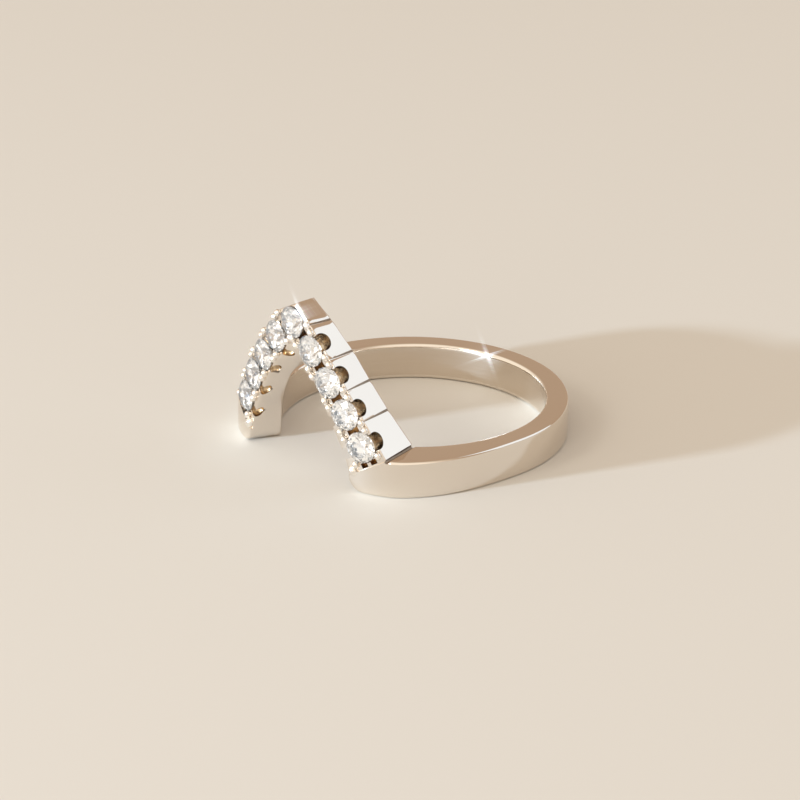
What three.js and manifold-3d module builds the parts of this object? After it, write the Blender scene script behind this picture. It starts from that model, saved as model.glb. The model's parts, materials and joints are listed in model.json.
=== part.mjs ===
import * as THREE from 'three';
import { mergeVertices } from 'three/addons/utils/BufferGeometryUtils.js';
import { ConvexGeometry } from 'three/addons/geometries/ConvexGeometry.js';
import Module from 'manifold-3d';

// A chevron finger ring with nine brilliants, lying on its side. All sizes are in millimetres.
// The finger's axis is Z, the chevron stands at the front, on the -Y side, and the floor is z = 0.

// Band
const fingerRadius = 8.5;
const bandHeight = 2.45;
const backWall = 1.45;
const shoulderWall = 2.85;
const shoulderStart = 35;
const shoulderEnd = 91;
const bandSegments = 108;
const comfortRadius = 0.3;
const edgeChamfer = 0.1;

// Chevron
const peakHeight = 11.3;
const chevronHalfWidth = 8;
const peakWall = 1.7;
const faceRadius = 18;
const ledgeDepth = 0.15;
const ledgeHalfWidth = 7.7;
const ledgeSlope = 0.62;
const slitRadius = 0.13;
const undersideSlitLength = 0.9;

// Stones and their setting
const stonesPerArm = 4;
const stoneDiameter = 2.05;
const stonePitch = 2.26;
const stoneProud = 0.05;
const stoneClearance = 0.04;
const tableShare = 0.56;
const crownShare = 0.15;
const girdleShare = 0.03;
const pavilionShare = 0.43;
const drillRadius = 0.42;
const scallopRadius = 0.58;
const undersideScallopRadius = 0.36;
const scallopDepth = 0.22;
const beadRadius = 0.27;
const beadSpread = 0.94;
const beadProud = 0.1;
const pocketLength = 0.34;
const pocketWidth = 0.9;
const pocketDepth = 0.9;
const beadOffset = 0.2;
const endPocketSpread = 0.36;

// How far a cutting shape runs past what it cuts
const overcut = 1;

// Upper edge of the right arm, from the peak down to the floor. across: distance from the middle
// along the front face, as a share of chevronHalfWidth. up: height as a share of peakHeight.
// The front columns are on the front face and the back columns on the finger side.
// A slit crosses the arm's upper side at each row from the second to the fifth.
const upperEdge = [
  { frontAcross: 0, frontUp: 1.018, backAcross: 0, backUp: 1.028 },
  { frontAcross: 0.201, frontUp: 0.907, backAcross: 0.244, backUp: 0.909 },
  { frontAcross: 0.409, frontUp: 0.741, backAcross: 0.466, backUp: 0.753 },
  { frontAcross: 0.584, frontUp: 0.587, backAcross: 0.626, backUp: 0.595 },
  { frontAcross: 0.74, frontUp: 0.429, backAcross: 0.788, backUp: 0.431 },
  { frontAcross: 0.931, frontUp: 0.208, backAcross: 1.008, backUp: 0.216 },
  { frontAcross: 1.075, frontUp: 0.042, backAcross: 1.15, backUp: 0.077 },
];

// Lower edge of the right arm, in the same columns. It runs on below the floor.
const lowerEdge = [
  { frontAcross: 0, frontUp: 0.735, backAcross: 0, backUp: 0.605 },
  { frontAcross: 0.156, frontUp: 0.646, backAcross: 0.163, backUp: 0.55 },
  { frontAcross: 0.294, frontUp: 0.525, backAcross: 0.313, backUp: 0.469 },
  { frontAcross: 0.419, frontUp: 0.372, backAcross: 0.438, backUp: 0.367 },
  { frontAcross: 0.55, frontUp: 0.204, backAcross: 0.594, backUp: 0.217 },
  { frontAcross: 0.744, frontUp: 0, backAcross: 0.769, backUp: 0 },
  { frontAcross: 0.85, frontUp: -0.106, backAcross: 0.881, backUp: -0.106 },
];

// Line of the stones down the right arm, in shares of the same two sizes.
const stoneLine = [
  { across: 0, up: 0.88 },
  { across: 0.215, up: 0.748 },
  { across: 0.41, up: 0.584 },
  { across: 0.567, up: 0.432 },
  { across: 0.71, up: 0.272 },
  { across: 0.85, up: 0.1 },
];

const metalMaterial = new THREE.MeshStandardMaterial({ color: 0xcfc6bb, roughness: 0.12, metalness: 1 });
const stoneMaterial = new THREE.MeshStandardMaterial({ color: 0xf6f4f0, roughness: 0.02, metalness: 0 });

const wasm = await Module();
wasm.setup();

// Joins and cuts

function solid(geometry) {
  const bare = new THREE.BufferGeometry();
  bare.setAttribute('position', geometry.attributes.position.clone());
  if (geometry.index) {
    bare.setIndex(geometry.index.clone());
  }
  const merged = mergeVertices(bare, 1e-4);
  const indices = merged.index.array;
  const triangles = [];
  for (let i = 0; i < indices.length; i += 3) {
    const [a, b, c] = indices.slice(i, i + 3);
    if (a !== b && b !== c && c !== a) {
      triangles.push(a, b, c);
    }
  }
  return new wasm.Manifold(new wasm.Mesh({
    numProp: 3,
    vertProperties: merged.attributes.position.array,
    triVerts: new Uint32Array(triangles),
  }));
}

function geometryOf(body) {
  const mesh = body.getMesh();
  const geometry = new THREE.BufferGeometry();
  geometry.setAttribute('position', new THREE.BufferAttribute(mesh.vertProperties, 3));
  geometry.setIndex(new THREE.BufferAttribute(mesh.triVerts, 1));
  return geometry;
}

function joined(bodies) {
  return bodies.reduce((sum, body) => sum.add(body));
}

// Skins a row of closed outlines that all have the same number of points.
function loft(outlines) {
  const count = outlines[0].length;
  const last = (outlines.length - 1) * count;
  const positions = outlines.flat().flatMap((point) => point.toArray());
  const triangles = [];
  for (let row = 0; row < outlines.length - 1; row += 1) {
    for (let i = 0; i < count; i += 1) {
      const a = row * count + i;
      const b = row * count + (i + 1) % count;
      triangles.push(a, b + count, b, a, a + count, b + count);
    }
  }
  for (let i = 1; i < count - 1; i += 1) {
    triangles.push(0, i, i + 1);
    triangles.push(last, last + i + 1, last + i);
  }
  const geometry = new THREE.BufferGeometry();
  geometry.setAttribute('position', new THREE.Float32BufferAttribute(positions, 3));
  geometry.setIndex(triangles);
  return solid(geometry);
}

// An upright cylinder standing on the floor, run past both ends.
function upright(radius, centreY, height, segments) {
  const geometry = new THREE.CylinderGeometry(radius, radius, height + 2 * overcut, segments);
  geometry.rotateX(Math.PI / 2);
  geometry.translate(0, centreY, height / 2);
  return solid(geometry);
}

// The front face

const faceCentreY = faceRadius - fingerRadius - peakWall;

// A point behind the front face: across and up on the face, and how deep behind it.
function onFace(across, up, depth) {
  const angle = across / faceRadius;
  const radius = faceRadius - depth;
  return new THREE.Vector3(radius * Math.sin(angle), faceCentreY - radius * Math.cos(angle), up);
}

// Metal between the front face and the finger, square to the face.
function wallAt(across) {
  const angle = across / faceRadius;
  const reach = Math.sqrt(fingerRadius ** 2 - (faceCentreY * Math.sin(angle)) ** 2);
  return faceRadius - faceCentreY * Math.cos(angle) - reach;
}

// Front and back ends of the straight line across an arm's side, run past both surfaces.
function sideLine(row) {
  const front = { across: row.frontAcross * chevronHalfWidth, up: row.frontUp * peakHeight };
  const back = { across: row.backAcross * chevronHalfWidth, up: row.backUp * peakHeight };
  const wall = wallAt(front.across);
  return [-overcut, wall + overcut].map((depth) => {
    const share = depth / wall;
    const across = THREE.MathUtils.lerp(front.across, back.across, share);
    return onFace(across, THREE.MathUtils.lerp(front.up, back.up, share), depth);
  });
}

// Everything below an edge, for both arms, down past the floor.
function belowEdge(edge) {
  const mirrored = edge.slice(1).reverse().map((row) => (
    { ...row, frontAcross: -row.frontAcross, backAcross: -row.backAcross }
  ));
  const outlines = [...mirrored, ...edge].map((row) => {
    const [front, back] = sideLine(row);
    const foot = -2 * overcut;
    return [front, back, back.clone().setZ(foot), front.clone().setZ(foot)];
  });
  return loft(outlines);
}

// Band

// The band's outline from above. Its wall shrinks smoothly between the two shoulder angles, which are
// degrees from the peak's direction.
function bandOutline(height, chamfer) {
  const points = [];
  for (let i = 0; i < bandSegments; i += 1) {
    const turn = i * 2 * Math.PI / bandSegments;
    const angle = THREE.MathUtils.radToDeg(Math.min(turn, 2 * Math.PI - turn));
    const share = THREE.MathUtils.smoothstep(angle, shoulderStart, shoulderEnd);
    const radius = fingerRadius + THREE.MathUtils.lerp(shoulderWall, backWall, share);
    points.push(new THREE.Vector2(radius * Math.sin(turn), -radius * Math.cos(turn)));
  }
  const geometry = new THREE.ExtrudeGeometry(new THREE.Shape(points), {
    depth: height - 2 * chamfer,
    bevelEnabled: chamfer > 0,
    bevelThickness: chamfer,
    bevelSize: chamfer,
    bevelOffset: -chamfer,
    bevelSegments: 1,
  });
  geometry.translate(0, 0, chamfer);
  return solid(geometry);
}

// The finger hole of the band, rounded at both rims.
function fingerHole() {
  const rim = fingerRadius + comfortRadius;
  const profile = [new THREE.Vector2(0, -overcut), new THREE.Vector2(rim, -overcut)];
  for (const [height, way] of [[comfortRadius, -1], [bandHeight - comfortRadius, 1]]) {
    for (let step = 0; step <= 3; step += 1) {
      const turn = (way < 0 ? 3 - step : step) * Math.PI / 6;
      const x = rim - comfortRadius * Math.cos(turn);
      profile.push(new THREE.Vector2(x, height + way * comfortRadius * Math.sin(turn)));
    }
  }
  profile.push(new THREE.Vector2(rim, bandHeight + overcut), new THREE.Vector2(0, bandHeight + overcut));
  const geometry = new THREE.LatheGeometry(profile, 72);
  geometry.rotateX(Math.PI / 2);
  return solid(geometry);
}

// The thin skin of the band's front that is cut away above the ledge.
function ledgeSkin() {
  const foot = ledgeHalfWidth - (bandHeight + overcut) / ledgeSlope;
  const top = ledgeHalfWidth + overcut / ledgeSlope;
  const shape = new THREE.Shape([
    new THREE.Vector2(-top, bandHeight + overcut),
    new THREE.Vector2(-foot, -overcut),
    new THREE.Vector2(foot, -overcut),
    new THREE.Vector2(top, bandHeight + overcut),
  ]);
  const geometry = new THREE.ExtrudeGeometry(shape, { depth: 2 * fingerRadius, bevelEnabled: false });
  geometry.rotateX(Math.PI / 2);
  return solid(geometry).subtract(upright(faceRadius - ledgeDepth, faceCentreY, peakHeight, 120));
}

// Stones

// Directions at a point of the stone line: x along the arm, y across it and z out of the face.
function seatFrame(distance) {
  const share = 0.5 + distance / stoneCurve.getLength();
  const point = stoneCurve.getPointAt(share);
  const tangent = stoneCurve.getTangentAt(share);
  const origin = onFace(point.x, point.y, ledgeDepth);
  const turn = point.x / faceRadius;
  const sideways = new THREE.Vector3(Math.cos(turn), Math.sin(turn), 0);
  const outward = new THREE.Vector3(Math.sin(turn), -Math.cos(turn), 0);
  const along = sideways.multiplyScalar(tangent.x).add(new THREE.Vector3(0, 0, tangent.y));
  const across = outward.clone().cross(along);
  return new THREE.Matrix4().makeBasis(along, across, outward).setPosition(origin);
}

// A round brilliant with its girdle's middle at z = 0 and its table up.
function brilliantPoints() {
  const radius = stoneDiameter / 2;
  const girdle = girdleShare * stoneDiameter / 2;
  const tableUp = girdle + crownShare * stoneDiameter;
  const culet = -girdle - pavilionShare * stoneDiameter;
  const eighth = Math.PI / 4;
  const starRadius = 0.78 * radius;
  const starInset = (starRadius * Math.cos(eighth / 2) - tableShare * radius) / (radius - tableShare * radius);
  const hipRadius = 0.28 * radius;
  const points = [new THREE.Vector3(0, 0, culet)];
  const ring = (ringRadius, up, count, start) => {
    for (let i = 0; i < count; i += 1) {
      const turn = start + i * 2 * Math.PI / count;
      points.push(new THREE.Vector3(ringRadius * Math.cos(turn), ringRadius * Math.sin(turn), up));
    }
  };
  ring(tableShare * radius, tableUp, 8, 0);
  ring(starRadius, THREE.MathUtils.lerp(tableUp, girdle, starInset), 8, eighth / 2);
  ring(radius, girdle, 16, 0);
  ring(radius, -girdle, 16, 0);
  const hipShare = hipRadius * Math.cos(eighth / 2) / radius;
  ring(hipRadius, THREE.MathUtils.lerp(culet, -girdle, hipShare), 8, eighth / 2);
  return points;
}

// The room that a stone needs, with a drilled hole behind it.
function seatCutter() {
  const sides = 24;
  const radius = (stoneDiameter / 2 + stoneClearance) / Math.cos(Math.PI / sides);
  const girdle = girdleShare * stoneDiameter / 2 + stoneClearance;
  const table = girdle + crownShare * stoneDiameter;
  const drillShare = drillRadius / radius;
  const cone = pavilionShare * stoneDiameter + stoneClearance;
  const profile = [
    new THREE.Vector2(0, -fingerRadius),
    new THREE.Vector2(drillRadius, -fingerRadius),
    new THREE.Vector2(drillRadius, -girdle - cone * (1 - drillShare)),
    new THREE.Vector2(radius, -girdle),
    new THREE.Vector2(radius, girdle),
    new THREE.Vector2(tableShare * radius + stoneClearance, table),
    new THREE.Vector2(0, table),
  ];
  const geometry = new THREE.LatheGeometry(profile, sides);
  geometry.rotateX(Math.PI / 2);
  geometry.translate(0, 0, stoneProud);
  return geometry;
}

// A round cut into one side of the arm under a stone: side 1 is the arm's upper side, -1 its underside.
function scallopCutter(side, radius) {
  const geometry = new THREE.CylinderGeometry(radius, radius, stonePitch, 16);
  geometry.translate(0, side * stonePitch / 2, -scallopDepth);
  return geometry;
}

function placed(geometry, matrix) {
  return solid(geometry.clone().applyMatrix4(matrix));
}

// Pairs of beads round the space between two stones, each pair a step along the arm from its middle.
function beadsAt(distance, steps) {
  const sphere = new THREE.IcosahedronGeometry(beadRadius, 1);
  const beads = [];
  for (const step of steps) {
    for (const side of [-1, 1]) {
      const bead = sphere.clone().translate(step, side * beadSpread, beadProud);
      beads.push(placed(bead, seatFrame(distance)));
    }
  }
  return beads;
}

// A V groove along an arm's side, from the front face back to a given depth.
function slit(row, mirror, length) {
  const [front, back] = sideLine(row);
  const reach = length ? overcut + length : front.distanceTo(back);
  const way = back.clone().sub(front).normalize();
  const middle = front.clone().addScaledVector(way, reach / 2);
  const geometry = new THREE.CylinderGeometry(slitRadius, slitRadius, reach, 4);
  geometry.applyQuaternion(new THREE.Quaternion().setFromUnitVectors(new THREE.Vector3(0, 1, 0), way));
  geometry.translate(...middle.toArray());
  const groove = solid(geometry);
  return mirror < 0 ? groove.mirror([1, 0, 0]) : groove;
}

// Assembly

const rightLine = stoneLine.map(({ across, up }) => (
  new THREE.Vector2(across * chevronHalfWidth, up * peakHeight)
));
const leftLine = rightLine.slice(1).reverse().map((point) => new THREE.Vector2(-point.x, point.y));
const stoneCurve = new THREE.SplineCurve([...leftLine, ...rightLine]);

function metalBody() {
  const band = bandOutline(bandHeight, edgeChamfer)
    .intersect(upright(faceRadius, faceCentreY, peakHeight, 120))
    .subtract(fingerHole())
    .subtract(ledgeSkin());
  const chevron = bandOutline(peakHeight, 0)
    .intersect(upright(faceRadius - ledgeDepth, faceCentreY, peakHeight, 120))
    .intersect(belowEdge(upperEdge))
    .subtract(upright(fingerRadius, 0, peakHeight, 72));
  let body = band.add(chevron).subtract(belowEdge(lowerEdge));

  const pocket = new THREE.BoxGeometry(pocketLength, pocketWidth, 2 * pocketDepth);
  const beads = [];
  const cuts = [];
  for (let index = -stonesPerArm; index <= stonesPerArm; index += 1) {
    cuts.push(placed(seatCutter(), seatFrame(index * stonePitch)));
    if (index !== 0) {
      cuts.push(placed(scallopCutter(1, scallopRadius), seatFrame(index * stonePitch)));
      cuts.push(placed(scallopCutter(-1, undersideScallopRadius), seatFrame(index * stonePitch)));
    }
  }
  for (const side of [-1, 1]) {
    for (let index = 0; index < stonesPerArm; index += 1) {
      const distance = side * (index + 0.5) * stonePitch;
      beads.push(...beadsAt(distance, [-beadOffset, beadOffset]));
      cuts.push(placed(pocket, seatFrame(distance)));
    }
    const end = side * (stonesPerArm + 0.5) * stonePitch;
    beads.push(...beadsAt(end, [-side * beadOffset]));
    for (const spread of [-endPocketSpread, endPocketSpread]) {
      const endPocket = new THREE.BoxGeometry(pocketLength, pocketLength, 2 * pocketDepth);
      cuts.push(placed(endPocket.translate(0, spread, 0), seatFrame(end)));
    }
  }
  const slits = [];
  for (const mirror of [1, -1]) {
    for (const row of upperEdge.slice(1, -2)) {
      slits.push(slit(row, mirror, 0));
    }
    for (const row of lowerEdge.slice(2, -2)) {
      slits.push(slit(row, mirror, undersideSlitLength));
    }
  }
  body = body.subtract(joined(slits));
  return body.add(joined(beads)).subtract(joined(cuts));
}

function mesh(name, geometry, material) {
  const piece = new THREE.Mesh(geometry, material);
  piece.name = name;
  return piece;
}

const ring = new THREE.Group();
ring.add(mesh('ring_body', geometryOf(metalBody()), metalMaterial));

const brilliant = new ConvexGeometry(brilliantPoints());
for (let index = -stonesPerArm; index <= stonesPerArm; index += 1) {
  const side = index < 0 ? 'left' : 'right';
  const name = index === 0 ? 'stone_peak' : `stone_${side}_${Math.abs(index)}`;
  const stone = mesh(name, geometryOf(solid(brilliant)), stoneMaterial);
  const lift = new THREE.Matrix4().makeTranslation(0, 0, stoneProud);
  stone.applyMatrix4(seatFrame(index * stonePitch).multiply(lift));
  ring.add(stone);
}

// The origin is at the middle of the ring's box, on the floor.
const box = new THREE.Box3().setFromObject(ring, true);
ring.position.set(-(box.min.x + box.max.x) / 2, -(box.min.y + box.max.y) / 2, -box.min.z);

export default ring;
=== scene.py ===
"""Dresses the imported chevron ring: polished metal with a brushed finger hole, beads and brilliants."""

import math

import bmesh
import bpy
from mathutils import Matrix, Vector
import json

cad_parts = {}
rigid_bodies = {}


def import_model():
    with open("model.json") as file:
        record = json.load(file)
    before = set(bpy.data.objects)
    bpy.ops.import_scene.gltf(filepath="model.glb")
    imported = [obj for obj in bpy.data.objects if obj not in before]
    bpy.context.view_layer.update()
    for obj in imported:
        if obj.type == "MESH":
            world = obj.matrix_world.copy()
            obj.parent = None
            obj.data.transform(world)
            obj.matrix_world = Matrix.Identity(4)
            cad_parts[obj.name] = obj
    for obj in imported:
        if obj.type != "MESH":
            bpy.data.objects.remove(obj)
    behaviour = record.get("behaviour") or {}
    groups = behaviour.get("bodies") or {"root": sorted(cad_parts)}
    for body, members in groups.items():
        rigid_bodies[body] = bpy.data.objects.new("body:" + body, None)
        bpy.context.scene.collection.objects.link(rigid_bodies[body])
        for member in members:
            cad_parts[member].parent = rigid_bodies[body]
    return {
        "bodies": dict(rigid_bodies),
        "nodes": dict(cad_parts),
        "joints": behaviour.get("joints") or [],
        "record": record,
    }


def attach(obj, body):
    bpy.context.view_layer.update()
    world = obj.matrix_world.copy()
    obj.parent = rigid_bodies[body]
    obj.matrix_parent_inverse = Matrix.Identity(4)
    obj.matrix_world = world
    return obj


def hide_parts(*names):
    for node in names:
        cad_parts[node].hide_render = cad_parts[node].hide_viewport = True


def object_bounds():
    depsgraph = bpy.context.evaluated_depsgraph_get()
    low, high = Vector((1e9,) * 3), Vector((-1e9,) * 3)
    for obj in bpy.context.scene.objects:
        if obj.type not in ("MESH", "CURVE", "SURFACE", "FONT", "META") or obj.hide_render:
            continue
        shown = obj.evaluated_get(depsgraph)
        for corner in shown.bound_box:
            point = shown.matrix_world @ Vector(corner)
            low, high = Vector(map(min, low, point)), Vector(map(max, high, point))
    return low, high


MM = 0.001

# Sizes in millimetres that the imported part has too
FINGER_RADIUS = 8.5
BAND_HEIGHT = 2.45
BACK_WALL = 1.45
SHOULDER_WALL = 2.85
SHOULDER_START = math.radians(35)
SHOULDER_END = math.radians(91)
COMFORT_RADIUS = 0.3
PEAK_HEIGHT = 11.3
HALF_WIDTH = 8.0
PEAK_WALL = 1.7
FACE_RADIUS = 18.0
FACE_CENTRE = FACE_RADIUS - FINGER_RADIUS - PEAK_WALL
LEDGE_DEPTH = 0.15
UNDERSIDE_SLIT_LENGTH = 0.9
STONES_PER_ARM = 4
STONE_DIAMETER = 2.05
STONE_PITCH = 2.26
STONE_PROUD = 0.05
STONE_CLEARANCE = 0.04
TABLE_SHARE = 0.56
CROWN_SHARE = 0.15
GIRDLE_SHARE = 0.03
PAVILION_SHARE = 0.43
DRILL_RADIUS = 0.42
SCALLOP_RADIUS = 0.58
SCALLOP_DEPTH = 0.22
POCKET_LENGTH = 0.34
POCKET_WIDTH = 0.9
POCKET_DEPTH = 0.9
END_POCKET_SPREAD = 0.36

# Finer sizes that are this scene's own
BAND_EDGE = 0.22
ARM_EDGE = 0.07
ARM_BACK_EDGE = 0.14
PEAK_EDGE = 0.3
CORNER_BLEND = 0.5
SLIT_RADIUS = 0.09
CREASE_RADIUS = 0.15
END_POCKET_WIDTH = 0.46
# Hollows on the arms' undersides: in a seat's frame, along the arm, to its upper side and out of the face
UNDERSIDE_ROUND_RADIUS = 0.42
UNDERSIDE_ROUND_PLACE = (0.0, -1.3, -0.27)
# Beads: their distance to the sides of the stone line, out of the face, and from the middle of a gap
BEAD_RADIUS = 0.26
BEAD_SPREAD = 0.9
BEAD_PROUD = 0.1
BEAD_OFFSET = 0.26
BEAD_SHAPE = (1.0, 0.85, 0.8)
TIP_REACH = -0.05
TIP_SPREAD = 1.3
TIP_SIZE = 1.45

# How far a cutting shape runs past what it cuts
OVERCUT = 1.0
# Points nearer than this are one point, in the skin and after the cuts
SAME_POINT = 1e-5
SLIVER = 0.0005
# The most sides of a gap in the mesh that is closed after the cuts
GAP_SIDES = 8
# How near to the finger's radius, and how squarely turned to its axis, a face lines the finger hole
WALL_NEARNESS = 0.01
WALL_FACING = 0.99

# Rounding of a section's corners: upper front, upper back, lower back and lower front
ARM_EDGES = [ARM_EDGE, ARM_BACK_EDGE, ARM_BACK_EDGE, ARM_EDGE]
PEAK_EDGES = [PEAK_EDGE, *ARM_EDGES[1:]]
BAND_EDGES = [BAND_EDGE, COMFORT_RADIUS, COMFORT_RADIUS, BAND_EDGE]
# The largest share of a section's side that the rounding of one corner takes
ROUNDING_SHARE = 0.4

# Edges of the right arm from the peak down: (across on the front, up, across on the finger side, up),
# as shares of HALF_WIDTH and PEAK_HEIGHT. The first row is the ridge, and the last is the step to the band.
UPPER_EDGE = [
    (0.0, 1.0, 0.0, 1.0),
    (0.201, 0.907, 0.244, 0.909),
    (0.409, 0.741, 0.466, 0.753),
    (0.584, 0.587, 0.626, 0.595),
    (0.74, 0.429, 0.788, 0.431),
    (0.935, 0.217, 1.008, 0.217),
]
LOWER_EDGE = [
    (0.0, 0.735, 0.0, 0.605),
    (0.156, 0.646, 0.163, 0.55),
    (0.294, 0.525, 0.313, 0.469),
    (0.419, 0.372, 0.438, 0.367),
    (0.55, 0.204, 0.594, 0.217),
    (0.605, 0.092, 0.64, 0.09),
]
# Rows where a slit crosses the upper side, where the step's crease lies, and where the underside is slit
SLIT_ROWS = (1, 2, 3, 4)
CREASE_ROWS = (5,)
UNDERSIDE_SLIT_ROWS = (2, 3, 4)
# Where the lower edge meets the floor: across on the front and on the finger side, in the same shares
FLOOR_CORNER = (0.744, 0.769)
# Line of the stones down the right arm: (across, up), in the same shares
STONE_LINE = [(0.0, 0.88), (0.215, 0.748), (0.41, 0.584), (0.567, 0.432), (0.71, 0.272), (0.85, 0.1)]

# How far the peak's ridge stands to the right of the middle
RIDGE_SHIFT = 0.33
# How far the arm's upper side drops beside a slit, and over which share of a panel
PANEL_DROP = 0.09
PANEL_ROUND = 0.16
# Cosine of the turn from the peak past which the front face is no longer met
FACE_LIMIT = 0.2

# Mesh density: places of sections between two rows, and counts of steps and sides
ROW_STEPS = [0.0, 0.03, 0.08, 0.16, 0.3, 0.5, 0.7, 0.84, 0.92, 0.97]
LEDGE_STEPS = 5
BAND_STEPS = 150
SIDE_STEPS = 6
CORNER_STEPS = 4
CURVE_STEPS = 40
SEAT_SIDES = 64
SCALLOP_SIDES = 40
SLIT_SIDES = 12
CREASE_SIDES = 16
BALL_LEVELS = 4

# Angles between faces from which an edge is shown sharp
METAL_SHARP = math.radians(32)
BEAD_SHARP = math.radians(60)

# Colours from the duller marks to the brighter ones
POLISHED_TINTS = ((0.80, 0.73, 0.65, 1), (0.845, 0.785, 0.715, 1))
BRUSHED_TINTS = ((0.66, 0.575, 0.485, 1), (0.75, 0.67, 0.58, 1))
BEAD_TINTS = ((0.88, 0.83, 0.77, 1), (0.95, 0.92, 0.88, 1))
# Painted shade in the seats, rounds and pockets: the dark end stands in for the shade in these hollows
SETTING_SHADE_TINTS = ((0.11, 0.045, 0.015, 1), (0.96, 0.76, 0.50, 1))
# Painted shade in the slits and the step's crease: dark tints in place of the shade that falls in these
# grooves
SLIT_SHADE_TINTS = ((0.20, 0.15, 0.11, 1), (0.42, 0.35, 0.28, 1))
STONE_COLOUR = (1.0, 1.0, 1.0, 1.0)
FLOOR_COLOUR = (0.66, 0.62, 0.56, 1)

# The room's light in front of the ring and behind it, and how far to each side the two meet
ROOM_FRONT = (1.16, 1.05, 0.90, 1)
ROOM_BACK = (0.52, 0.38, 0.27, 1)
ROOM_FADE = 0.35

# Lamps: the way and the distance to each from the ring, in metres, its size, power and colour
LAMPS = [
    {
        "name": "panel_card",
        "direction": (0.53, 0.72, 0.48),
        "distance": 0.25,
        "size": (0.2, 0.235),
        "power": 0.14,
        "colour": (0.60, 0.813, 1.0),
    },
    {
        "name": "key",
        "direction": (-0.30, -0.954, 0.123),
        "distance": 0.6,
        "size": (0.045, 0.015),
        "power": 8.0,
        "colour": (0.62, 0.80, 1.0),
    },
    {
        "name": "sparkle_high",
        "direction": (-0.1, -0.8, 0.6),
        "distance": 0.4,
        "size": (0.1, 0.1),
        "power": 0.2,
        "colour": (1.0, 0.98, 0.95),
    },
    {
        "name": "sparkle_side",
        "direction": (0.35, -0.9, 0.25),
        "distance": 0.4,
        "size": (0.08, 0.08),
        "power": 0.12,
        "colour": (1.0, 0.98, 0.95),
    },
]
LAMP_AIM_HEIGHT = 0.004
FLOOR_REACH = 2.0

# Camera: the photograph's direction, in degrees, its distance in millimetres and its framing in pixels
AZIMUTH = 48.5
ELEVATION = 22.97
ROLL = 0.5
DISTANCE = 300.0
FOCAL_PIXELS = 4674.5
IMAGE_SIZE = 800
HOLE_CENTRE = (412.8, 428.8)
SENSOR_WIDTH = 36.0


class Socket:
    """A node's output in a tree, with the operators that the materials use on values."""

    def __init__(self, tree, output):
        self.tree = tree
        self.output = output

    def _math(self, operation, *values):
        return self.tree.node("ShaderNodeMath", {"operation": operation}, list(values))

    def __add__(self, other):
        return self._math("ADD", self, other)

    def __radd__(self, other):
        return self._math("ADD", other, self)

    def __mul__(self, other):
        return self._math("MULTIPLY", self, other)

    def __rmul__(self, other):
        return self._math("MULTIPLY", other, self)


class Tree:
    """A node tree that is written as expressions."""

    def __init__(self, tree):
        self.nodes = tree.nodes
        self.links = tree.links
        self.nodes.clear()

    def node(self, kind, settings=None, values=(), output=0):
        """Adds a node: its settings first, then the values or links of its sockets, by place or by name."""
        made = self.nodes.new(kind)
        for name, value in (settings or {}).items():
            setattr(made, name, value)
        pairs = values.items() if isinstance(values, dict) else enumerate(values)
        for name, value in pairs:
            if isinstance(value, Socket):
                self.links.new(value.output, made.inputs[name])
            else:
                made.inputs[name].default_value = value
        return Socket(self, made.outputs[output])

    def place(self):
        """Object coordinates, in metres."""
        return self.node("ShaderNodeTexCoord", output="Object")

    def noise(self, vector, scale, detail=2.0):
        return self.node("ShaderNodeTexNoise", {}, {"Vector": vector, "Scale": scale, "Detail": detail})

    def mix_colour(self, factor, first, second):
        """Mixes two colours. The Mix node's sockets share their names, so the colours' go by number."""
        settings = {"data_type": "RGBA"}
        return self.node("ShaderNodeMix", settings, {0: factor, 6: first, 7: second}, output=2)


def new_material(name):
    material = bpy.data.materials.new(name)
    material.use_nodes = True
    return material, Tree(material.node_tree)


def finish_material(tree, shader):
    output = tree.nodes.new("ShaderNodeOutputMaterial")
    tree.links.new(shader.output, output.inputs["Surface"])


def principled(tree, **values):
    named = {name.replace("_", " "): value for name, value in values.items()}
    return tree.node("ShaderNodeBsdfPrincipled", {}, named)


# Materials


def polished_metal():
    """Mirror-polished white gold: a warm white with the faint unevenness and marks of a buffing wheel."""
    material, tree = new_material("polished_white_gold")
    place = tree.place()
    broad = tree.noise(place, 180.0, 1.0)
    fine = tree.noise(place, 5200.0, 3.0)
    tint = tree.mix_colour(broad, *POLISHED_TINTS)
    roughness = 0.035 + 0.04 * fine
    settings = {"Height": broad * 0.7 + fine * 0.02, "Strength": 0.06, "Distance": 0.00004}
    bump = tree.node("ShaderNodeBump", {}, settings)
    shader = principled(tree, Base_Color=tint, Metallic=1.0, Roughness=roughness, Normal=bump)
    finish_material(tree, shader)
    return material


def brushed_metal():
    """The inside of the finger hole: the same metal with fine lines that run round it."""
    material, tree = new_material("brushed_white_gold")
    place = tree.place()
    lines = tree.node("ShaderNodeMapping", {}, {"Vector": place, "Scale": (60.0, 60.0, 9000.0)})
    streaks = tree.noise(lines, 1.0, 4.0)
    broad = tree.noise(place, 260.0, 2.0)
    tint = tree.mix_colour(streaks, *BRUSHED_TINTS)
    roughness = 0.17 + 0.10 * streaks + 0.06 * broad
    bump = tree.node("ShaderNodeBump", {}, {"Height": streaks, "Strength": 0.16, "Distance": 0.00001})
    shader = principled(tree, Base_Color=tint, Metallic=1.0, Roughness=roughness, Normal=bump)
    finish_material(tree, shader)
    return material


def bead_metal():
    """The burnished beads, a little whiter and softer than the polished faces."""
    material, tree = new_material("burnished_beads")
    place = tree.place()
    dents = tree.noise(place, 2600.0, 2.0)
    tint = tree.mix_colour(dents, *BEAD_TINTS)
    bump = tree.node("ShaderNodeBump", {}, {"Height": dents, "Strength": 0.25, "Distance": 0.00005})
    shader = principled(tree, Base_Color=tint, Metallic=1.0, Roughness=0.06 + 0.1 * dents, Normal=bump)
    finish_material(tree, shader)
    return material


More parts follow.
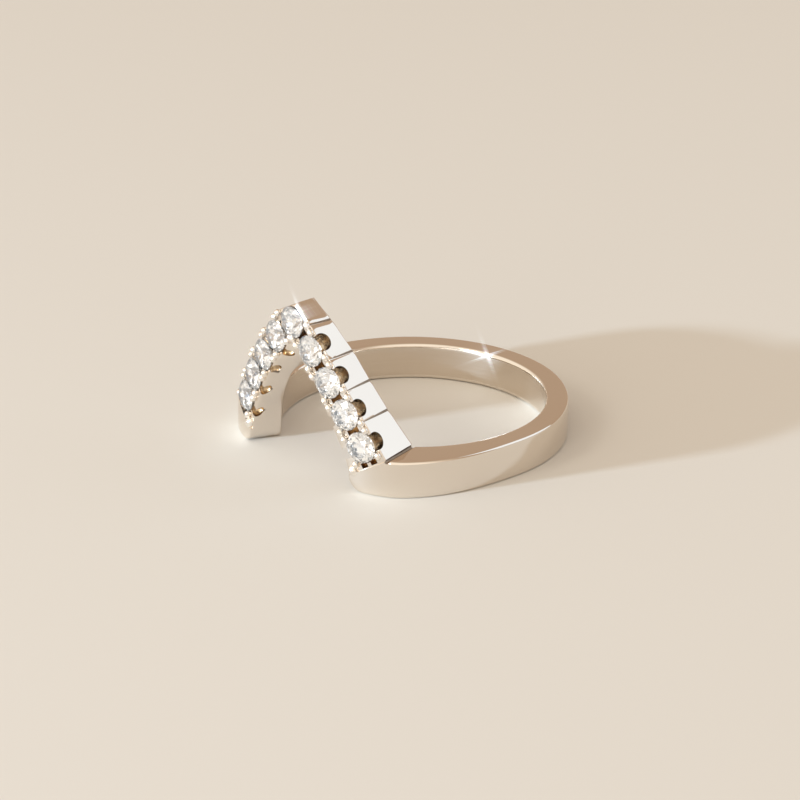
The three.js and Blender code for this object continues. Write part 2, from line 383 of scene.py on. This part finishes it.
def setting_shade_metal():
    """The insides of the seats, rounds and pockets, rougher than the faces, with painted shade: the gold is
    tinted warmer and darker, near black in random patches, for the shade in these hollows.
    """
    material, tree = new_material("setting_painted_shade")
    place = tree.place()
    marks = tree.noise(place, 2400.0, 3.0)
    # The marks also place the painted shade: their low values give the near-black tint
    tint = tree.mix_colour(marks, *SETTING_SHADE_TINTS)
    bump = tree.node("ShaderNodeBump", {}, {"Height": marks, "Strength": 0.3, "Distance": 0.00006})
    shader = principled(tree, Base_Color=tint, Metallic=1.0, Roughness=0.10 + 0.15 * marks, Normal=bump)
    finish_material(tree, shader)
    return material


def slit_shade_metal():
    """The narrow slits between the panels, with painted shade: a dark tint, mottled at random, stands in
    for the shade deep in the grooves.
    """
    material, tree = new_material("slit_shadow")
    place = tree.place()
    mottle = tree.noise(place, 3000.0, 2.0)
    tint = tree.mix_colour(mottle, *SLIT_SHADE_TINTS)
    shader = principled(tree, Base_Color=tint, Metallic=1.0, Roughness=0.25 + 0.2 * mottle)
    finish_material(tree, shader)
    return material


def brilliant_stone():
    """A clear, highly refracting stone, a little white inside, with a faint haze of polish lines."""
    material, tree = new_material("clear_brilliant")
    haze = tree.noise(tree.place(), 3000.0) * 0.008
    shader = principled(tree, Base_Color=STONE_COLOUR, Roughness=haze, IOR=2.42, Transmission_Weight=0.95)
    finish_material(tree, shader)
    return material


def plain_floor():
    material, tree = new_material("plain_floor")
    shader = principled(tree, Base_Color=FLOOR_COLOUR, Roughness=0.7, Specular_IOR_Level=0.1)
    finish_material(tree, shader)
    return material


# Places on the ring, in millimetres, with the finger's axis at x = y = 0


def face_point(across, up, depth):
    """A point behind the front face: across and up on the face, and how deep behind it."""
    angle = across / FACE_RADIUS
    radius = FACE_RADIUS - depth
    return Vector((radius * math.sin(angle), FACE_CENTRE - radius * math.cos(angle), up))


def wall_at(across):
    """Metal between the front face and the finger, square to the face."""
    angle = across / FACE_RADIUS
    reach = math.sqrt(FINGER_RADIUS**2 - (FACE_CENTRE * math.sin(angle)) ** 2)
    return FACE_RADIUS - FACE_CENTRE * math.cos(angle) - reach


def turn_of(point):
    """Angle round the finger from the peak's direction."""
    return math.atan2(point.x, -point.y)


def smooth_share(value, low, high):
    share = min(max((value - low) / (high - low), 0.0), 1.0)
    return share * share * (3 - 2 * share)


def outer_radius(turn):
    """Outside of the ring at a turn from the peak, with a soft corner between front face and band."""
    away = abs((turn + math.pi) % (2 * math.pi) - math.pi)
    share = smooth_share(away, SHOULDER_START, SHOULDER_END)
    band = FINGER_RADIUS + SHOULDER_WALL + (BACK_WALL - SHOULDER_WALL) * share
    if math.cos(away) <= FACE_LIMIT:
        return band
    run = FACE_CENTRE * math.cos(away)
    face = -run + math.sqrt(run**2 + FACE_RADIUS**2 - FACE_CENTRE**2)
    blend = max(CORNER_BLEND - abs(face - band), 0.0) / CORNER_BLEND
    return min(face, band) - blend * blend * CORNER_BLEND / 4


def polar(turn, radius, up):
    return Vector((radius * math.sin(turn), -radius * math.cos(turn), up))


def mix(first, second, share):
    return first + (second - first) * share


def catmull(values, place):
    """A smooth curve through a row of numbers."""
    index = min(int(place), len(values) - 2)
    share = place - index
    before = values[index - 1] if index > 0 else 2 * values[0] - values[1]
    after = values[index + 2] if index + 2 < len(values) else 2 * values[-1] - values[-2]
    first, second = values[index], values[index + 1]
    return 0.5 * (
        2 * first
        + (second - before) * share
        + (2 * before - 5 * first + 4 * second - after) * share**2
        + (3 * first - before - 3 * second + after) * share**3
    )


# The metal body


def panel_drop(row, share):
    """How much lower the upper side lies beside the slits at a panel's two ends."""
    drop = 0.0
    for at_slit, distance in ((row > 0, share), (row < len(UPPER_EDGE) - 2, 1 - share)):
        if at_slit:
            drop += PANEL_DROP * max(1 - distance / PANEL_ROUND, 0) ** 2
    return drop


def arm_corners(place, side):
    """Turns and heights of a section's four corners, at a place counted in rows down an arm."""
    index = min(int(place), len(UPPER_EDGE) - 2)
    share = place - index
    start = list(UPPER_EDGE[index])
    if index == 0:
        ridge = side * RIDGE_SHIFT / HALF_WIDTH
        start = [start[0] + ridge, start[1], start[2] + ridge, start[3]]
    upper = [mix(a, b, share) for a, b in zip(start, UPPER_EDGE[index + 1])]
    drop = panel_drop(index, share) / PEAK_HEIGHT
    upper = [upper[0], upper[1] - drop, upper[2], upper[3] - drop]
    lower = [catmull([row[k] for row in LOWER_EDGE], place) for k in range(4)]
    corners = []
    for front_across, front_up, back_across, back_up in (upper, lower):
        front = face_point(front_across * HALF_WIDTH, front_up * PEAK_HEIGHT, 0)
        back_s = back_across * HALF_WIDTH
        back = face_point(back_s, back_up * PEAK_HEIGHT, wall_at(back_s))
        corners.append([(turn_of(front), front.z), (turn_of(back), back.z)])
    (upper_front, upper_back), (lower_front, lower_back) = corners
    return [upper_front, upper_back, lower_back, lower_front]


def band_corners(share):
    """The same for a section of the band, from the ledge (0) to the back of the ring (1)."""
    start = arm_corners(len(UPPER_EDGE) - 1, 1)
    floor = [turn_of(face_point(across * HALF_WIDTH, 0, 0)) for across in FLOOR_CORNER]
    ends = [start[0][0], start[1][0], floor[1], floor[0]]
    heights = [BAND_HEIGHT, BAND_HEIGHT, 0.0, 0.0]
    return [(mix(turn, math.pi, share), up) for turn, up in zip(ends, heights)]


def section(corners, setback, edges):
    """Points round one section. setback: how deep the front lies. edges: rounding of the four corners."""

    def outside(turn, up):
        return polar(turn, outer_radius(turn) - setback, up)

    def inside(turn, up):
        return polar(turn, FINGER_RADIUS, up)

    upper_front, upper_back, lower_back, lower_front = corners
    sides = []
    walls = [(lower_front, upper_front, outside, outside), (upper_front, upper_back, outside, inside)]
    walls += [(upper_back, lower_back, inside, inside), (lower_back, lower_front, inside, outside)]
    for index, (first, second, start, end) in enumerate(walls):
        side = []
        for step in range(CURVE_STEPS + 1):
            share = step / CURVE_STEPS
            if start is end:
                side.append(start(mix(first[0], second[0], share), mix(first[1], second[1], share)))
            else:
                side.append(start(*first).lerp(end(*second), share))
        sides.append(trimmed(side, edges[index - 1], edges[index]))
    tips = [outside(*upper_front), inside(*upper_back), inside(*lower_back), outside(*lower_front)]
    points = []
    for index, (side, corner) in enumerate(zip(sides, tips)):
        points += side
        following = sides[(index + 1) % len(sides)][0]
        for step in range(1, CORNER_STEPS):
            share = step / CORNER_STEPS
            first = side[-1].lerp(corner, share)
            points.append(first.lerp(corner.lerp(following, share), share))
    return points


def trimmed(side, start, end):
    """A side shortened by the rounding at both ends and divided evenly."""
    lengths = [0.0]
    for first, second in zip(side, side[1:]):
        lengths.append(lengths[-1] + (second - first).length)
    total = lengths[-1]
    start, end = min(start, total * ROUNDING_SHARE), min(end, total * ROUNDING_SHARE)
    points = []
    for step in range(SIDE_STEPS + 1):
        wanted = mix(start, total - end, step / SIDE_STEPS)
        index = next((i for i in range(len(lengths) - 2) if lengths[i + 1] >= wanted), len(lengths) - 2)
        part = (wanted - lengths[index]) / (lengths[index + 1] - lengths[index])
        points.append(side[index].lerp(side[index + 1], part))
    return points


def half_sections(side):
    """Sections down one half of the ring, as seen on the right, from the peak to the back."""
    rows = len(UPPER_EDGE) - 1
    made = []
    for place in [row + share for row in range(rows) for share in ROW_STEPS] + [rows]:
        edges = [mix(a, b, min(place, 1.0)) for a, b in zip(PEAK_EDGES, ARM_EDGES)]
        made.append(section(arm_corners(place, side), LEDGE_DEPTH, edges))
    ledge = arm_corners(rows, side)
    made.append(section(ledge, 0.0, ARM_EDGES))
    for step in range(1, LEDGE_STEPS):
        share = step / LEDGE_STEPS
        drop = share * math.pi / 2
        blended = list(ledge[:2])
        for above, floor in zip(ledge[2:], band_corners(0.0)[2:]):
            turn = mix(above[0], floor[0], 1 - math.cos(drop))
            blended.append((turn, mix(above[1], 0.0, math.sin(drop))))
        edges = [mix(a, b, share) for a, b in zip(ARM_EDGES, BAND_EDGES)]
        made.append(section(blended, 0.0, edges))
    for step in range(BAND_STEPS):
        made.append(section(band_corners(step / BAND_STEPS), 0.0, BAND_EDGES))
    return made


def ring_skin():
    """The whole closed metal body as one skin of sections, before anything is cut from it."""
    right = half_sections(1)
    left = [[Vector((-p.x, p.y, p.z)) for p in points] for points in reversed(half_sections(-1)[1:])]
    back = section(band_corners(1.0), 0.0, BAND_EDGES)
    rings = [*left, *right, back]
    made = bmesh.new()
    rows = [[made.verts.new(point) for point in points] for points in rings]
    count = len(rows[0])
    for index, row in enumerate(rows):
        following = rows[(index + 1) % len(rows)]
        for i in range(count):
            j = (i + 1) % count
            made.faces.new((row[i], following[i], following[j], row[j]))
    bmesh.ops.remove_doubles(made, verts=made.verts, dist=SAME_POINT)
    bmesh.ops.recalc_face_normals(made, faces=made.faces)
    return to_object("ring_metal", made)


def to_object(name, made):
    mesh = bpy.data.meshes.new(name)
    made.to_mesh(mesh)
    made.free()
    piece = bpy.data.objects.new(name, mesh)
    bpy.context.collection.objects.link(piece)
    return piece


# Seats along the arms


def stone_curve():
    """Fine points of the stone line with their distances from the peak, for the right arm."""
    across = [row[0] * HALF_WIDTH for row in STONE_LINE]
    up = [row[1] * PEAK_HEIGHT for row in STONE_LINE]
    across = [-across[1], *across]
    up = [up[1], *up]
    points = []
    for step in range((len(STONE_LINE) - 1) * CURVE_STEPS + 1):
        place = 1 + step / CURVE_STEPS
        points.append(Vector((catmull(across, place), catmull(up, place))))
    lengths = [0.0]
    for first, second in zip(points, points[1:]):
        lengths.append(lengths[-1] + (second - first).length)
    return points, lengths


def seat_matrix(distance):
    """Frame at a distance along the stone line: x along the arm, y to its upper side, z out of the face."""
    points, lengths = stone_curve()
    side = -1 if distance < 0 else 1
    wanted = abs(distance)
    index = next((i for i in range(len(lengths) - 2) if lengths[i + 1] >= wanted), len(lengths) - 2)
    part = (wanted - lengths[index]) / (lengths[index + 1] - lengths[index])
    spot = points[index].lerp(points[index + 1], part)
    way = (points[index + 1] - points[index]).normalized()
    if wanted == 0:
        way = Vector((1.0, 0.0))
    across, tangent = side * spot.x, Vector((way.x, side * way.y))
    turn = across / FACE_RADIUS
    outward = Vector((math.sin(turn), -math.cos(turn), 0))
    along = Vector((math.cos(turn), math.sin(turn), 0)) * tangent.x + Vector((0, 0, tangent.y))
    upward = outward.cross(along)
    origin = face_point(across, spot.y, LEDGE_DEPTH)
    turned = Matrix((along, upward, outward)).transposed().to_4x4()
    return Matrix.Translation(origin) @ turned


def lathe(profile, sides):
    """A closed turned shape round Z from (radius, height) points that start and end on the axis."""
    made = bmesh.new()
    rings = []
    for radius, height in profile:
        if radius == 0:
            rings.append([made.verts.new((0, 0, height))])
            continue
        turns = [2 * math.pi * i / sides for i in range(sides)]
        rings.append([made.verts.new((radius * math.cos(t), radius * math.sin(t), height)) for t in turns])
    for first, second in zip(rings, rings[1:]):
        for i in range(sides):
            j = (i + 1) % sides
            corners = [first[i % len(first)], first[j % len(first)]]
            corners += [second[j % len(second)], second[i % len(second)]]
            made.faces.new(list(dict.fromkeys(corners)))
    bmesh.ops.recalc_face_normals(made, faces=made.faces)
    return made


def seat_shape():
    """What is cut for a stone: its own form with a clearance, and the drilled hole behind it."""
    radius = STONE_DIAMETER / 2 + STONE_CLEARANCE
    girdle = GIRDLE_SHARE * STONE_DIAMETER / 2 + STONE_CLEARANCE
    table = girdle + CROWN_SHARE * STONE_DIAMETER
    cone = PAVILION_SHARE * STONE_DIAMETER + STONE_CLEARANCE
    neck = -girdle - cone * (1 - DRILL_RADIUS / radius)
    profile = [(0, -FINGER_RADIUS), (DRILL_RADIUS, -FINGER_RADIUS), (DRILL_RADIUS, neck), (radius, -girdle)]
    profile += [(radius, girdle), (TABLE_SHARE * radius, table), (0, table)]
    shape = lathe(profile, SEAT_SIDES)
    bmesh.ops.translate(shape, vec=(0, 0, STONE_PROUD), verts=shape.verts)
    return shape


def rod_shape(radius, length, sides):
    """A round bar along Z from the origin."""
    return lathe([(0, 0), (radius, 0), (radius, length), (0, length)], sides)


def scallop_shape():
    """The round beside a stone on the arm's upper side."""
    shape = rod_shape(SCALLOP_RADIUS, STONE_PITCH, SCALLOP_SIDES)
    bmesh.ops.rotate(shape, matrix=Matrix.Rotation(-math.pi / 2, 3, "X"), verts=shape.verts)
    bmesh.ops.translate(shape, vec=(0, 0, -SCALLOP_DEPTH), verts=shape.verts)
    return shape


def underside_round_shape():
    shape = bmesh.new()
    bmesh.ops.create_icosphere(shape, subdivisions=BALL_LEVELS, radius=UNDERSIDE_ROUND_RADIUS)
    bmesh.ops.translate(shape, vec=UNDERSIDE_ROUND_PLACE, verts=shape.verts)
    return shape


def box_shape(length, width, depth, shift):
    shape = bmesh.new()
    bmesh.ops.create_cube(shape, size=1, matrix=Matrix.Diagonal((length, width, depth, 1)))
    bmesh.ops.translate(shape, vec=(0, shift, 0), verts=shape.verts)
    return shape


def bead_shape():
    shape = bmesh.new()
    bmesh.ops.create_icosphere(shape, subdivisions=BALL_LEVELS, radius=BEAD_RADIUS)
    bmesh.ops.scale(shape, vec=BEAD_SHAPE, verts=shape.verts)
    return shape


def repeated(name, shape, places, material, size=1.0):
    """Copies of a shape on a row of frames, made by Geometry Nodes and turned into one plain mesh."""
    pattern = to_object(name + "_pattern", shape)
    points = bpy.data.meshes.new(name)
    points.from_pydata([place.translation for place in places], [], [])
    turning = points.attributes.new("turning", "QUATERNION", "POINT")
    for item, place in zip(turning.data, places):
        item.value = place.to_quaternion()
    carrier = bpy.data.objects.new(name, points)
    bpy.context.collection.objects.link(carrier)

    group = bpy.data.node_groups.new(name + "_repeat", "GeometryNodeTree")
    group.interface.new_socket("Geometry", in_out="INPUT", socket_type="NodeSocketGeometry")
    piece = group.interface.new_socket("Piece", in_out="INPUT", socket_type="NodeSocketObject")
    scale = group.interface.new_socket("Size", in_out="INPUT", socket_type="NodeSocketFloat")
    group.interface.new_socket("Geometry", in_out="OUTPUT", socket_type="NodeSocketGeometry")
    tree = Tree(group)
    start = group.nodes.new("NodeGroupInput")
    given = [Socket(tree, output) for output in start.outputs]
    whole = {"transform_space": "ORIGINAL"}
    shown = tree.node("GeometryNodeObjectInfo", whole, {"Object": given[1]}, output="Geometry")
    named = {"data_type": "QUATERNION"}
    turned = tree.node("GeometryNodeInputNamedAttribute", named, {"Name": "turning"})
    wires = {"Points": given[0], "Instance": shown, "Rotation": turned, "Scale": given[2]}
    copies = tree.node("GeometryNodeInstanceOnPoints", {}, wires)
    real = tree.node("GeometryNodeRealizeInstances", {}, [copies])
    painted = tree.node("GeometryNodeSetMaterial", {}, {"Geometry": real, "Material": material})
    end = group.nodes.new("NodeGroupOutput")
    group.links.new(painted.output, end.inputs[0])

    grow = carrier.modifiers.new("repeat", "NODES")
    grow.node_group = group
    grow[piece.identifier] = pattern
    grow[scale.identifier] = size
    evaluated = carrier.evaluated_get(bpy.context.evaluated_depsgraph_get())
    plain = bpy.data.meshes.new_from_object(evaluated)
    carrier.modifiers.remove(grow)
    carrier.data = plain
    bpy.data.objects.remove(pattern)
    return carrier


def stone_places():
    return [seat_matrix(index * STONE_PITCH) for index in range(-STONES_PER_ARM, STONES_PER_ARM + 1)]


def gap_distances():
    return [side * (index + 0.5) * STONE_PITCH for side in (-1, 1) for index in range(STONES_PER_ARM)]


def end_distances():
    return [side * (STONES_PER_ARM + 0.5) * STONE_PITCH for side in (-1, 1)]


def bead_pair(distance, step):
    """Two beads on both sides of the stone line, a step along the arm from a distance on the line."""
    frame = seat_matrix(distance)
    return [frame @ Matrix.Translation((step, side, BEAD_PROUD)) for side in (-BEAD_SPREAD, BEAD_SPREAD)]


def bead_places():
    """Four beads in each gap between two stones, and two past the last stone of each arm."""
    places = []
    for distance in gap_distances():
        places += bead_pair(distance, -BEAD_OFFSET) + bead_pair(distance, BEAD_OFFSET)
    for distance in end_distances():
        places += bead_pair(distance, -math.copysign(BEAD_OFFSET, distance))
    return places


def slit_places(edge, rows, length=None):
    """Frames of the grooves across the arms' sides, Z along each, and lengths. No length: all across."""
    found = []
    for row in rows:
        front_across, front_up, back_across, back_up = edge[row]
        front = face_point(front_across * HALF_WIDTH, front_up * PEAK_HEIGHT, 0)
        back_s = back_across * HALF_WIDTH
        back = face_point(back_s, back_up * PEAK_HEIGHT, wall_at(back_s))
        way = (back - front).normalized()
        reach = length or (back - front).length + OVERCUT
        for side in (1, -1):
            mirrored = Vector((side, 1, 1))
            start = (front - way * OVERCUT) * mirrored
            turned = Vector((0, 0, 1)).rotation_difference(way * mirrored).to_matrix().to_4x4()
            found.append((Matrix.Translation(start) @ turned, reach + OVERCUT))
    return found


def cut_away(body, cutter):
    """Cuts a piece out of the body and removes the piece."""
    cut = body.modifiers.new("cut", "BOOLEAN")
    cut.operation = "DIFFERENCE"
    cut.solver = "EXACT"
    cut.material_mode = "TRANSFER"
    cut.object = cutter
    evaluated = body.evaluated_get(bpy.context.evaluated_depsgraph_get())
    carved = bpy.data.meshes.new_from_object(evaluated)
    body.modifiers.remove(cut)
    body.data = carved
    bpy.data.objects.remove(cutter)


def cut_slits(body):
    """Cuts the narrow grooves across the arms and along the step to the band."""
    # The slits and the crease get the dark painted shade
    groove = slit_shade_metal()
    slits = slit_places(UPPER_EDGE, SLIT_ROWS)
    slits += slit_places(LOWER_EDGE, UNDERSIDE_SLIT_ROWS, UNDERSIDE_SLIT_LENGTH)
    for place, length in slits:
        cut_away(body, repeated("slit", rod_shape(SLIT_RADIUS, length, SLIT_SIDES), [place], groove))
    for place, length in slit_places(UPPER_EDGE, CREASE_ROWS):
        cut_away(body, repeated("crease", rod_shape(CREASE_RADIUS, length, CREASE_SIDES), [place], groove))


def cut_setting(body):
    """Cuts the seats, the rounds beside the stones and the pockets between them."""
    # The cut faces of the setting get its painted shade
    inside = setting_shade_metal()
    seats = stone_places()
    arms = seats[:STONES_PER_ARM] + seats[STONES_PER_ARM + 1:]
    cut_away(body, repeated("seats", seat_shape(), seats, inside))
    cut_away(body, repeated("scallops", scallop_shape(), arms, inside))
    cut_away(body, repeated("underside_rounds", underside_round_shape(), arms, inside))
    gaps = [seat_matrix(distance) for distance in gap_distances()]
    pocket = box_shape(POCKET_LENGTH, POCKET_WIDTH, 2 * POCKET_DEPTH, 0)
    cut_away(body, repeated("pockets", pocket, gaps, inside))
    ends = [seat_matrix(distance) for distance in end_distances()]
    for spread in (-END_POCKET_SPREAD, END_POCKET_SPREAD):
        shape = box_shape(POCKET_LENGTH, END_POCKET_WIDTH, 2 * POCKET_DEPTH, spread)
        cut_away(body, repeated("end_pockets", shape, ends, inside))


def clean(body):
    """Merges the points that the cuts left on each other, removes the slivers and closes what is left."""
    made = bmesh.new()
    made.from_mesh(body.data)
    bmesh.ops.triangulate(made, faces=made.faces)
    bmesh.ops.remove_doubles(made, verts=made.verts, dist=SLIVER)
    bmesh.ops.dissolve_degenerate(made, edges=made.edges, dist=SLIVER)
    bmesh.ops.triangulate(made, faces=made.faces)
    same_corners = {}
    for face in made.faces:
        same_corners.setdefault(frozenset(corner.index for corner in face.verts), []).append(face)
    doubled = [face for group in same_corners.values() if len(group) > 1 for face in group]
    bmesh.ops.delete(made, geom=doubled, context="FACES")
    fins = [face for face in made.faces if 1 in [len(edge.link_faces) for edge in face.edges]
            and max(len(edge.link_faces) for edge in face.edges) > 2]
    bmesh.ops.delete(made, geom=fins, context="FACES")
    open_edges = [edge for edge in made.edges if len(edge.link_faces) == 1]
    filled = bmesh.ops.holes_fill(made, edges=open_edges, sides=GAP_SIDES)
    bmesh.ops.triangulate(made, faces=filled["faces"])
    made.to_mesh(body.data)
    made.free()


def shade(piece, sharp_angle):
    """Smooth shading with true edges where faces meet at more than an angle."""
    for polygon in piece.data.polygons:
        polygon.use_smooth = True
    piece.data.set_sharp_from_angle(angle=sharp_angle)


def settle(piece, axis_y):
    """Brings a piece from millimetres about the finger's axis into the frame, in metres."""
    piece.data.transform(Matrix.Translation((0, axis_y, 0)) @ Matrix.Scale(MM, 4))


def lines_finger_hole(polygon):
    """Whether a face lies on the wall of the finger hole."""
    centre = polygon.center.copy()
    centre.z = 0
    near = centre.length < FINGER_RADIUS + WALL_NEARNESS
    return near and polygon.normal.dot(centre) < -WALL_FACING * centre.length


def metal_body(axis_y):
    body = ring_skin()
    body.data.materials.append(polished_metal())
    body.data.materials.append(brushed_metal())
    for polygon in body.data.polygons:
        polygon.material_index = 1 if lines_finger_hole(polygon) else 0
    cut_slits(body)
    cut_setting(body)
    clean(body)
    shade(body, METAL_SHARP)
    settle(body, axis_y)
    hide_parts("ring_body")
    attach(body, "root")


def tip_places():
    """One larger bead at the lower tip of each arm."""
    places = []
    for distance in end_distances():
        step = math.copysign(TIP_REACH, distance)
        places.append(seat_matrix(distance) @ Matrix.Translation((step, -TIP_SPREAD, 0)))
    return places


def beads(axis_y):
    metal = bead_metal()
    rows = [("prong_beads", bead_places(), 1.0), ("tip_beads", tip_places(), TIP_SIZE)]
    for name, places, size in rows:
        piece = repeated(name, bead_shape(), places, metal, size)
        shade(piece, BEAD_SHARP)
        settle(piece, axis_y)
        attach(piece, "root")


def stones(nodes):
    material = brilliant_stone()
    for name, stone in nodes.items():
        if name.startswith("stone_"):
            for holder in stone.material_slots:
                holder.material = material


# Room


def floor_plane():
    made = bmesh.new()
    bmesh.ops.create_grid(made, x_segments=1, y_segments=1, size=FLOOR_REACH)
    piece = to_object("floor", made)
    piece.data.materials.append(plain_floor())


def area_light(aim, name, direction, distance, size, power, colour):
    light = bpy.data.lights.new(name, "AREA")
    light.shape = "RECTANGLE"
    light.size, light.size_y = size
    light.energy = power
    light.color = colour
    lamp = bpy.data.objects.new(name, light)
    way = Vector(direction).normalized()
    lamp.location = Vector(aim) + way * distance
    lamp.rotation_euler = way.to_track_quat("Z", "Y").to_euler()
    bpy.context.collection.objects.link(lamp)


def lights(axis_y):
    for lamp in LAMPS:
        area_light((0, axis_y, LAMP_AIM_HEIGHT), **lamp)


def surroundings():
    """A soft room: pale in front of the ring and tan behind it."""
    world = bpy.data.worlds.new("soft_room")
    world.use_nodes = True
    tree = Tree(world.node_tree)
    way = tree.node("ShaderNodeTexCoord")
    behind = tree.node("ShaderNodeSeparateXYZ", {}, [way], output="Y")
    fade = {"Value": behind, "From Min": -ROOM_FADE, "From Max": ROOM_FADE}
    share = tree.node("ShaderNodeMapRange", {"interpolation_type": "SMOOTHSTEP"}, fade)
    colour = tree.mix_colour(share, ROOM_FRONT, ROOM_BACK)
    sky = tree.node("ShaderNodeBackground", {}, {"Color": colour})
    output = tree.nodes.new("ShaderNodeOutputWorld")
    tree.links.new(sky.output, output.inputs["Surface"])
    bpy.context.scene.world = world


def camera(axis_y):
    azimuth, elevation = math.radians(AZIMUTH), math.radians(ELEVATION)
    level = Vector((math.sin(azimuth), -math.cos(azimuth), 0))
    way = level * math.cos(elevation) + Vector((0, 0, math.sin(elevation)))
    right = Vector((math.cos(azimuth), math.sin(azimuth), 0))
    up = way.cross(right)
    roll = math.radians(ROLL)
    tilted_right = right * math.cos(roll) + up * math.sin(roll)
    tilted_up = up * math.cos(roll) - right * math.sin(roll)
    data = bpy.data.cameras.new("camera")
    data.sensor_width = SENSOR_WIDTH
    data.lens = FOCAL_PIXELS / IMAGE_SIZE * SENSOR_WIDTH
    data.shift_x = (IMAGE_SIZE / 2 - HOLE_CENTRE[0]) / IMAGE_SIZE
    data.shift_y = (HOLE_CENTRE[1] - IMAGE_SIZE / 2) / IMAGE_SIZE
    data.clip_start = 0.01
    data.clip_end = 10
    eye = bpy.data.objects.new("camera", data)
    turned = Matrix((tilted_right, tilted_up, way)).transposed().to_4x4()
    eye.matrix_world = Matrix.Translation(Vector((0, axis_y, 0)) + way * DISTANCE * MM) @ turned
    bpy.context.collection.objects.link(eye)
    bpy.context.scene.camera = eye


def sparkle():
    """The soft glow and the faint rays that a lens gives to the brightest glints."""
    scene = bpy.context.scene
    scene.use_nodes = True
    tree = Tree(scene.node_tree)
    picture = tree.node("CompositorNodeRLayers")
    glow = {"Image": picture, "Threshold": 1.2, "Maximum": 6.0, "Clamp": True}
    glow.update({"Strength": 0.18, "Size": 0.25})
    soft = tree.node("CompositorNodeGlare", {"glare_type": "BLOOM", "quality": "HIGH"}, glow)
    star = {"Image": soft, "Threshold": 4.0, "Strength": 0.07, "Streaks": 4}
    star.update({"Streaks Angle": 0.35, "Fade": 0.85})
    rays = tree.node("CompositorNodeGlare", {"glare_type": "STREAKS", "quality": "HIGH"}, star)
    output = tree.nodes.new("CompositorNodeComposite")
    tree.links.new(rays.output, output.inputs["Image"])


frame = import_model()
packed_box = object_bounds()
finger_axis_y = packed_box[1].y - (FINGER_RADIUS + BACK_WALL) * MM
camera(finger_axis_y)
metal_body(finger_axis_y)
beads(finger_axis_y)
stones(frame["nodes"])
floor_plane()
lights(finger_axis_y)
surroundings()
sparkle()
bpy.context.scene.view_settings.view_transform = "Standard"
